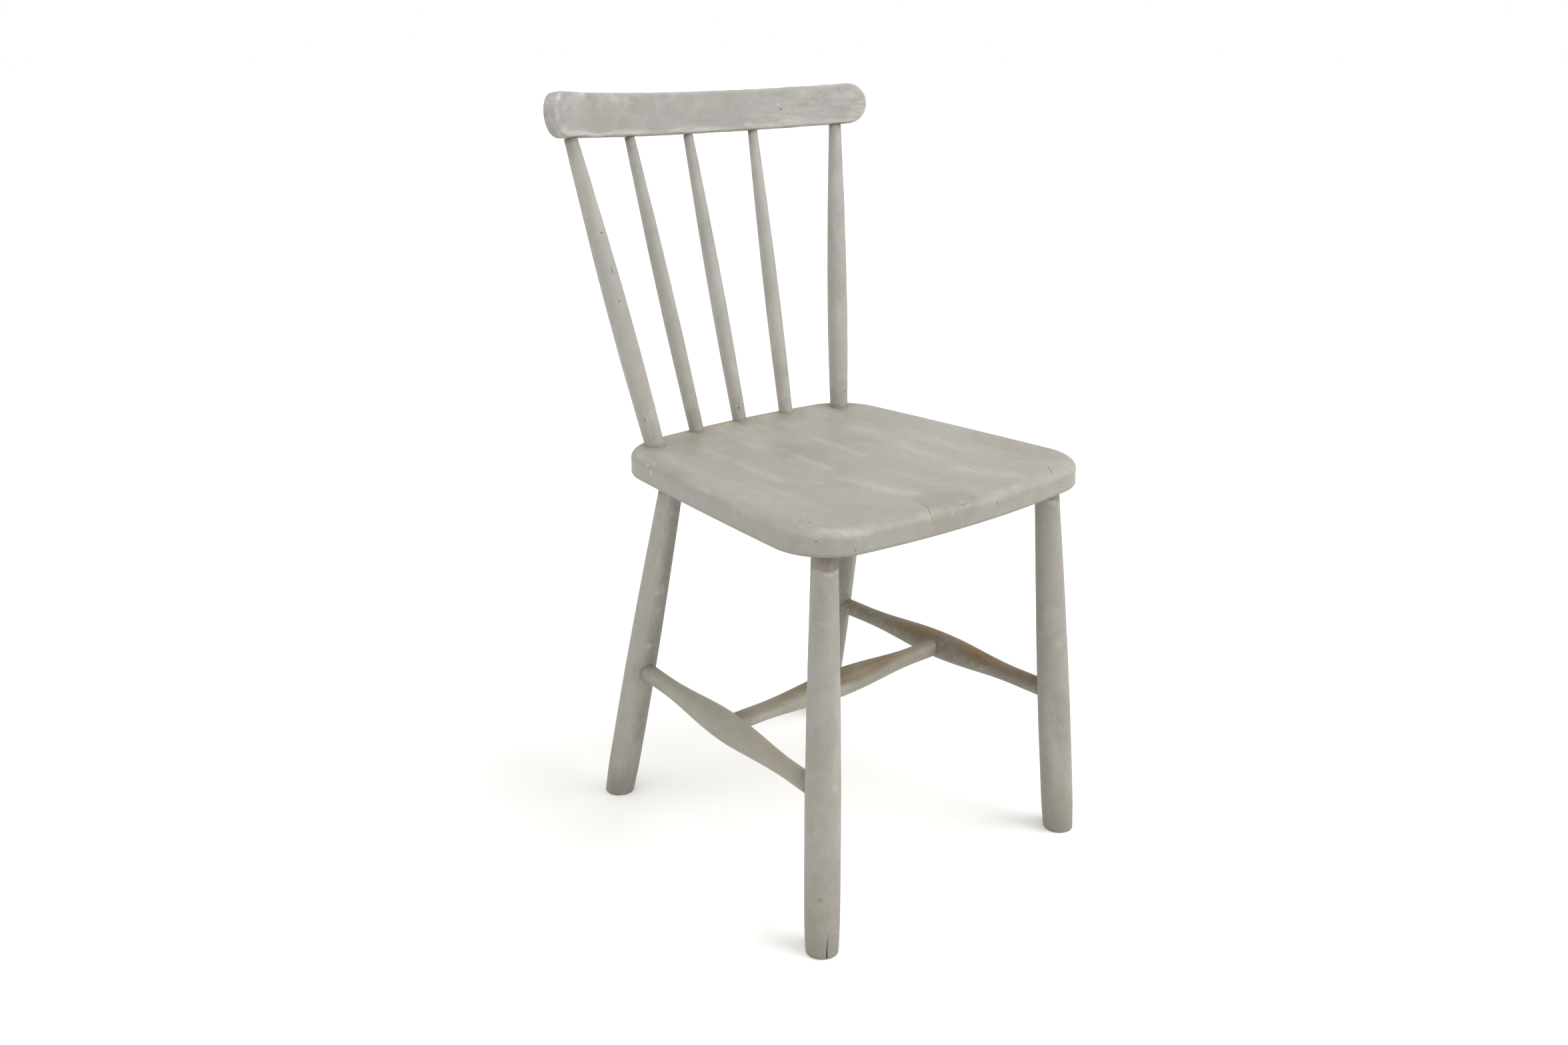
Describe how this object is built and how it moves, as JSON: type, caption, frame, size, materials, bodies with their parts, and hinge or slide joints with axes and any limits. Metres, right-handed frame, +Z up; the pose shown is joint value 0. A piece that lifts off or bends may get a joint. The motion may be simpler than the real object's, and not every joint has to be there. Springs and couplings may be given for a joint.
{
  "type": "spindle-back wooden chair",
  "caption": "Small painted side chair with a dished plank seat, splayed turned legs braced by an H of stretchers, and a spindle back under a bent crest rail; the paint is worn.",
  "frame": {"origin": "on the floor, under the middle of the chair's overall width and depth", "axes": "+Z up, -Y towards the front edge of the seat, +X to the right of someone who stands in front and looks at the chair"},
  "size_m": [0.427, 0.4702, 0.7957],
  "materials": {
    "seat_paint": "warm grey paint, satin, scuffed chalky, worn to brown at the back edge and around the spindles",
    "crest_paint": "warm grey paint, satin, rubbed pale along the lower edge",
    "post_paint": "warm grey paint, satin, small chips",
    "spindle_paint": "warm grey paint, satin, small chips and rubbed spots",
    "leg_paint": "warm grey paint, satin, dirty and scratched, brown close under the seat",
    "stretcher_paint": "warm grey paint worn through to brown wood on top"
  },
  "bodies": {
    "root": {"seat": "seat_paint", "crest_rail": "crest_paint", "post_left": "post_paint", "post_right": "post_paint", "spindle_left": "spindle_paint", "spindle_middle": "spindle_paint", "spindle_right": "spindle_paint", "leg_front_left": "leg_paint", "leg_front_right": "leg_paint", "leg_back_left": "leg_paint", "leg_back_right": "leg_paint", "stretcher_left": "stretcher_paint", "stretcher_right": "stretcher_paint", "stretcher_cross": "stretcher_paint"}
  },
  "joints": []
}
